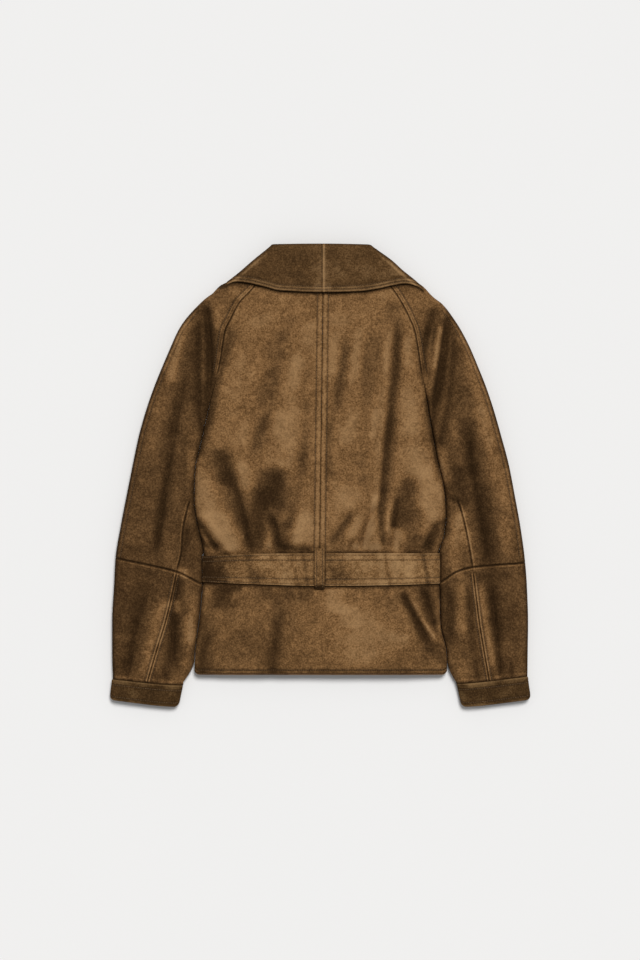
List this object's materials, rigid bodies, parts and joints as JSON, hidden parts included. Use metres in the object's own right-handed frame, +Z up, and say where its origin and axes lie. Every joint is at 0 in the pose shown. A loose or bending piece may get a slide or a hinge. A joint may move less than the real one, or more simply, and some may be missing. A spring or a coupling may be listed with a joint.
{
  "type": "suede jacket laid flat, back up",
  "caption": "Cropped raglan jacket in brown suede, laid flat on its front with the back up: wide turned-down collar, gathered back, belt in a loop at the waist, short skirt, banded cuffs.",
  "frame": {"origin": "on the floor, under the middle of the box round the whole jacket", "axes": "+Z up, out of the jacket's back; +Y along the back to the collar; +X to the wearer's right side"},
  "size_m": [0.61, 0.6719, 0.027],
  "materials": {
    "body": "matte brushed suede",
    "cuff": "matte brushed suede",
    "collar": "matte brushed suede",
    "belt": "matte brushed suede"
  },
  "bodies": {
    "root": {"back_left": "body", "front_left": "body", "skirt_front_left": "body", "sleeve_back_left": "body", "sleeve_under_left": "body", "sleeve_front_left": "body", "forearm_outer_left": "body", "forearm_inner_left": "body", "forearm_front_left": "body", "cuff_left": "cuff", "collar_left": "collar", "lapel_left": "collar", "back_right": "body", "front_right": "body", "skirt_front_right": "body", "sleeve_back_right": "body", "sleeve_under_right": "body", "sleeve_front_right": "body", "forearm_outer_right": "body", "forearm_inner_right": "body", "forearm_front_right": "body", "cuff_right": "cuff", "collar_right": "collar", "lapel_right": "collar", "skirt_back": "body", "collar_stand": "collar", "belt": "belt", "belt_loop": "belt"}
  },
  "joints": []
}
